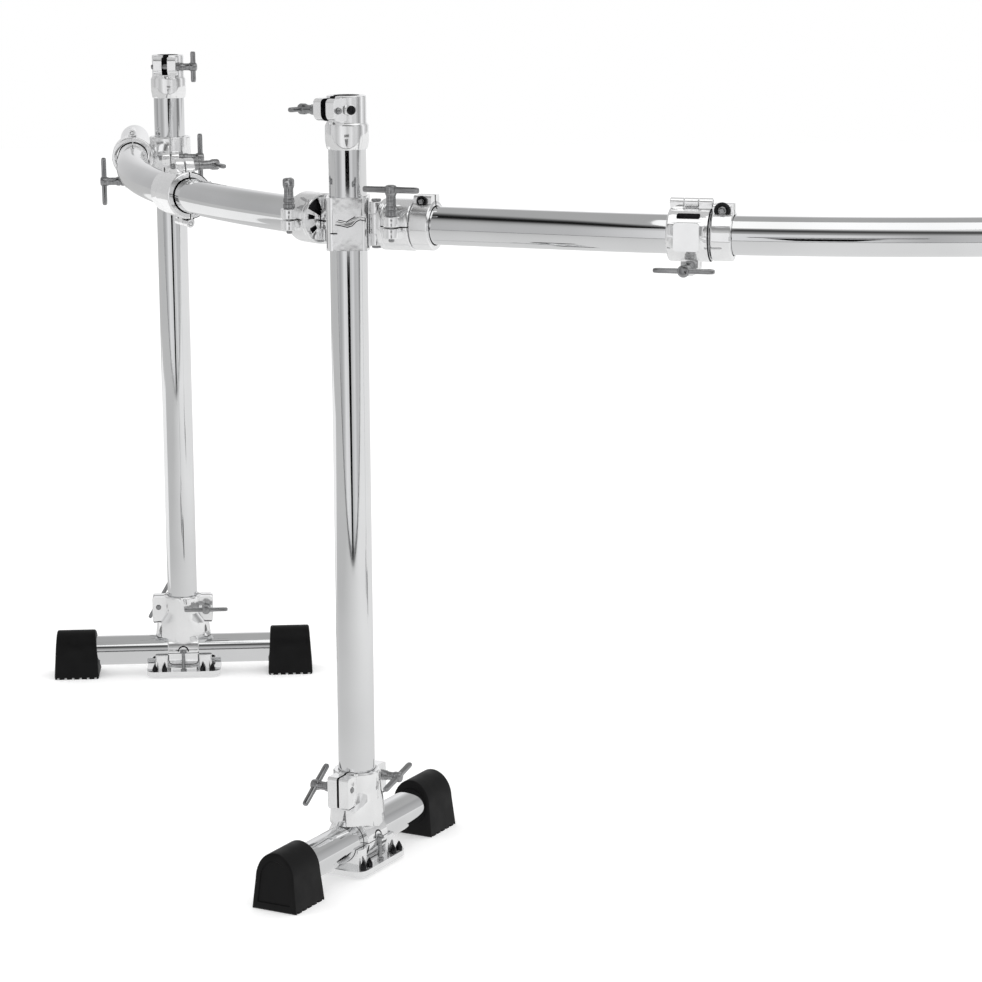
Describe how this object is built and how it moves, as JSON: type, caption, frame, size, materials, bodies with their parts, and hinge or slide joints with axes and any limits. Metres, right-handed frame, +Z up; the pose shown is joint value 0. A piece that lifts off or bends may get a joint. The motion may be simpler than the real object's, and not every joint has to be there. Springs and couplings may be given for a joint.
{
  "type": "drum rack frame",
  "caption": "Drum rack frame of chromed tube: bowed front rail and side wing on T-footed posts, joined by hinged ring clamps with T-screws, ready to carry arms.",
  "frame": {"origin": "on the floor, below the middle of the bounding box", "axes": "+X along the front of the rack to the player's far side, +Y towards the back, +Z up"},
  "size_m": [1.7328, 1.2356, 0.8083],
  "materials": {
    "chrome_tube": "polished",
    "cast_chrome": "polished casting",
    "plated_steel": "bright plated",
    "rubber": "matte"
  },
  "bodies": {
    "front_rail": {"rail_front": "chrome_tube", "front_left_clamp_base": "cast_chrome", "front_left_clamp_cap": "cast_chrome", "front_right_clamp_base": "cast_chrome", "front_right_clamp_cap": "cast_chrome", "memory_lock_front_left": "cast_chrome"},
    "left_block": {"junction_block_left": "cast_chrome", "hinge_pin_front_left": "plated_steel", "hinge_pin_wing": "plated_steel"},
    "right_block": {"junction_block_right": "cast_chrome", "hinge_pin_front_right": "plated_steel"},
    "wing": {"rail_wing": "chrome_tube", "wing_clamp_base": "cast_chrome", "wing_clamp_cap": "cast_chrome"},
    "rear_clamp": {"rear_clamp_body": "cast_chrome", "rear_clamp_post_cap": "cast_chrome", "rear_clamp_rail_cap": "cast_chrome"},
    "front_left_post": {"post_front_left": "chrome_tube"},
    "front_left_foot": {"foot_tube_front_left": "chrome_tube", "rubber_foot_front_left_left": "rubber", "rubber_foot_front_left_right": "rubber", "leg_clamp_front_left": "cast_chrome", "leg_clamp_base_front_left": "cast_chrome"},
    "front_left_top": {"top_clamp_front_left": "cast_chrome"},
    "front_right_post": {"post_front_right": "chrome_tube"},
    "front_right_foot": {"foot_tube_front_right": "chrome_tube", "rubber_foot_front_right_left": "rubber", "rubber_foot_front_right_right": "rubber", "leg_clamp_front_right": "cast_chrome", "leg_clamp_base_front_right": "cast_chrome"},
    "front_right_top": {"top_clamp_front_right": "cast_chrome"},
    "rear_left_post": {"post_rear_left": "chrome_tube"},
    "rear_left_foot": {"foot_tube_rear_left": "chrome_tube", "rubber_foot_rear_left_left": "rubber", "rubber_foot_rear_left_right": "rubber", "leg_clamp_rear_left": "cast_chrome", "leg_clamp_base_rear_left": "cast_chrome"},
    "rear_left_top": {"top_clamp_rear_left": "cast_chrome"},
    "front_accessory_lock": {"memory_lock_front_accessory": "cast_chrome"},
    "front_accessory": {"front_accessory_clamp_base": "cast_chrome", "front_accessory_clamp_cap": "cast_chrome"},
    "wing_accessory_lock": {"memory_lock_wing_accessory": "cast_chrome"},
    "wing_accessory": {"wing_accessory_clamp_base": "cast_chrome", "wing_accessory_clamp_cap": "cast_chrome"},
    "front_left_clamp_t_screw": {"front_left_clamp_t_screw": "plated_steel"},
    "front_right_clamp_t_screw": {"front_right_clamp_t_screw": "plated_steel"},
    "wing_clamp_t_screw": {"wing_clamp_t_screw": "plated_steel"},
    "rear_clamp_post_t_screw": {"rear_clamp_post_t_screw": "plated_steel"},
    "rear_clamp_rail_t_screw": {"rear_clamp_rail_t_screw": "plated_steel"},
    "front_accessory_clamp_t_screw": {"front_accessory_clamp_t_screw": "plated_steel"},
    "wing_accessory_clamp_t_screw": {"wing_accessory_clamp_t_screw": "plated_steel"},
    "leg_wing_screw_front_left_right": {"leg_wing_screw_front_left_right": "plated_steel"},
    "leg_wing_screw_front_left_left": {"leg_wing_screw_front_left_left": "plated_steel"},
    "top_clamp_front_left_wing_screw": {"top_clamp_front_left_wing_screw": "plated_steel"},
    "leg_wing_screw_front_right_right": {"leg_wing_screw_front_right_right": "plated_steel"},
    "leg_wing_screw_front_right_left": {"leg_wing_screw_front_right_left": "plated_steel"},
    "top_clamp_front_right_wing_screw": {"top_clamp_front_right_wing_screw": "plated_steel"},
    "leg_wing_screw_rear_left_right": {"leg_wing_screw_rear_left_right": "plated_steel"},
    "leg_wing_screw_rear_left_left": {"leg_wing_screw_rear_left_left": "plated_steel"},
    "top_clamp_rear_left_wing_screw": {"top_clamp_rear_left_wing_screw": "plated_steel"}
  },
  "joints": [
    {"name": "left_block_swing", "type": "hinge", "parent": "front_rail", "child": "left_block", "pos_m": [-0.40648, -0.44832, 0.676], "axis": [0, 0, 1], "range_deg": [-30, 30]},
    {"name": "right_block_swing", "type": "hinge", "parent": "front_rail", "child": "right_block", "pos_m": [0.73586, -0.44832, 0.676], "axis": [0, 0, 1], "range_deg": [-30, 30]},
    {"name": "wing_swing", "type": "hinge", "parent": "left_block", "child": "wing", "pos_m": [-0.45418, -0.41234, 0.676], "axis": [0, 0, 1], "range_deg": [-30, 30]},
    {"name": "rear_clamp_slide", "type": "slide", "parent": "wing", "child": "rear_clamp", "axis": [-0.1088, 0.9941, 0], "range_m": [-0.1, 0.2]},
    {"name": "front_left_post_slide", "type": "slide", "parent": "left_block", "child": "front_left_post", "axis": [0, 0, 1], "range_m": [-0.04, 0.5]},
    {"name": "front_left_foot_swivel", "type": "hinge", "parent": "front_left_post", "child": "front_left_foot", "pos_m": [-0.43531, -0.43693, 0.09], "axis": [0, 0, 1], "range_deg": [-180, 180]},
    {"name": "front_left_top_swivel", "type": "hinge", "parent": "front_left_post", "child": "front_left_top", "pos_m": [-0.43531, -0.43693, 0.775], "axis": [0, 0, 1], "range_deg": [-180, 180]},
    {"name": "front_right_post_slide", "type": "slide", "parent": "right_block", "child": "front_right_post", "axis": [0, 0, 1], "range_m": [-0.04, 0.5]},
    {"name": "front_right_foot_swivel", "type": "hinge", "parent": "front_right_post", "child": "front_right_foot", "pos_m": [0.76469, -0.43693, 0.09], "axis": [0, 0, 1], "range_deg": [-180, 180]},
    {"name": "front_right_top_swivel", "type": "hinge", "parent": "front_right_post", "child": "front_right_top", "pos_m": [0.76469, -0.43693, 0.775], "axis": [0, 0, 1], "range_deg": [-180, 180]},
    {"name": "rear_left_post_slide", "type": "slide", "parent": "rear_clamp", "child": "rear_left_post", "axis": [0, 0, 1], "range_m": [-0.04, 0.5]},
    {"name": "rear_left_foot_swivel", "type": "hinge", "parent": "rear_left_post", "child": "rear_left_foot", "pos_m": [-0.69722, 0.3485, 0.09], "axis": [0, 0, 1], "range_deg": [-180, 180]},
    {"name": "rear_left_top_swivel", "type": "hinge", "parent": "rear_left_post", "child": "rear_left_top", "pos_m": [-0.69722, 0.3485, 0.775], "axis": [0, 0, 1], "range_deg": [-180, 180]},
    {"name": "front_accessory_travel", "type": "hinge", "parent": "front_rail", "child": "front_accessory_lock", "pos_m": [0.16469, 0.40122, 0.676], "axis": [0, 0, 1], "range_deg": [-4.5, 33]},
    {"name": "wing_accessory_travel", "type": "hinge", "parent": "wing", "child": "wing_accessory_lock", "pos_m": [0.36433, 0.32791, 0.676], "axis": [0, 0, 1], "range_deg": [-16, 8]},
    {"name": "front_accessory_tilt", "type": "hinge", "parent": "front_accessory_lock", "child": "front_accessory", "pos_m": [-0.09849, -0.56353, 0.676], "axis": [0.9647, -0.2632, 0], "range_deg": [-60, 60]},
    {"name": "wing_accessory_tilt", "type": "hinge", "parent": "wing_accessory_lock", "child": "wing_accessory", "pos_m": [-0.63092, -0.14058, 0.676], "axis": [0.4259, -0.9048, 0], "range_deg": [-60, 60]},
    {"name": "front_left_clamp_t_screw_turn", "type": "hinge", "parent": "front_rail", "child": "front_left_clamp_t_screw", "pos_m": [-0.39044, -0.488, 0.676], "axis": [0, 0, 1], "continuous": true},
    {"name": "front_right_clamp_t_screw_turn", "type": "hinge", "parent": "front_rail", "child": "front_right_clamp_t_screw", "pos_m": [0.71982, -0.488, 0.676], "axis": [0, 0, 1], "continuous": true},
    {"name": "wing_clamp_t_screw_turn", "type": "hinge", "parent": "wing", "child": "wing_clamp_t_screw", "pos_m": [-0.49673, -0.40781, 0.676], "axis": [0, 0, 1], "continuous": true},
    {"name": "rear_clamp_post_t_screw_turn", "type": "hinge", "parent": "rear_clamp", "child": "rear_clamp_post_t_screw", "pos_m": [-0.69385, 0.31769, 0.676], "axis": [0.9941, 0.1088, 0], "continuous": true},
    {"name": "rear_clamp_rail_t_screw_turn", "type": "hinge", "parent": "rear_clamp", "child": "rear_clamp_rail_t_screw", "pos_m": [-0.74394, 0.34339, 0.645], "axis": [-0.9941, -0.1088, 0], "continuous": true},
    {"name": "front_accessory_clamp_t_screw_turn", "type": "hinge", "parent": "front_accessory", "child": "front_accessory_clamp_t_screw", "pos_m": [-0.09849, -0.56353, 0.645], "axis": [-0.2632, -0.9647, 0], "continuous": true},
    {"name": "wing_accessory_clamp_t_screw_turn", "type": "hinge", "parent": "wing_accessory", "child": "wing_accessory_clamp_t_screw", "pos_m": [-0.63092, -0.14058, 0.707], "axis": [0.9048, 0.4259, 0], "continuous": true},
    {"name": "leg_wing_screw_front_left_right_turn", "type": "hinge", "parent": "front_left_foot", "child": "leg_wing_screw_front_left_right", "pos_m": [-0.42076, -0.40956, 0.091], "axis": [0.8829, -0.4695, 0], "continuous": true},
    {"name": "leg_wing_screw_front_left_left_turn", "type": "hinge", "parent": "front_left_foot", "child": "leg_wing_screw_front_left_left", "pos_m": [-0.44986, -0.46431, 0.091], "axis": [-0.8829, 0.4695, 0], "continuous": true},
    {"name": "top_clamp_front_left_wing_screw_turn", "type": "hinge", "parent": "front_left_top", "child": "top_clamp_front_left_wing_screw", "pos_m": [-0.45271, -0.45626, 0.78925], "axis": [-0.7431, 0.6691, 0], "continuous": true},
    {"name": "leg_wing_screw_front_right_right_turn", "type": "hinge", "parent": "front_right_foot", "child": "leg_wing_screw_front_right_right", "pos_m": [0.75014, -0.40956, 0.091], "axis": [0.8829, 0.4695, 0], "continuous": true},
    {"name": "leg_wing_screw_front_right_left_turn", "type": "hinge", "parent": "front_right_foot", "child": "leg_wing_screw_front_right_left", "pos_m": [0.77924, -0.46431, 0.091], "axis": [-0.8829, -0.4695, 0], "continuous": true},
    {"name": "top_clamp_front_right_wing_screw_turn", "type": "hinge", "parent": "front_right_top", "child": "top_clamp_front_right_wing_screw", "pos_m": [0.78209, -0.45626, 0.78925], "axis": [0.7431, 0.6691, 0], "continuous": true},
    {"name": "leg_wing_screw_rear_left_right_turn", "type": "hinge", "parent": "rear_left_foot", "child": "leg_wing_screw_rear_left_right", "pos_m": [-0.66629, 0.35066, 0.091], "axis": [0.0698, -0.9976, 0], "continuous": true},
    {"name": "leg_wing_screw_rear_left_left_turn", "type": "hinge", "parent": "rear_left_foot", "child": "leg_wing_screw_rear_left_left", "pos_m": [-0.72814, 0.34634, 0.091], "axis": [-0.0698, 0.9976, 0], "continuous": true},
    {"name": "top_clamp_rear_left_wing_screw_turn", "type": "hinge", "parent": "rear_left_top", "child": "top_clamp_rear_left_wing_screw", "pos_m": [-0.69813, 0.32252, 0.78925], "axis": [0.9994, -0.0349, 0], "continuous": true}
  ]
}
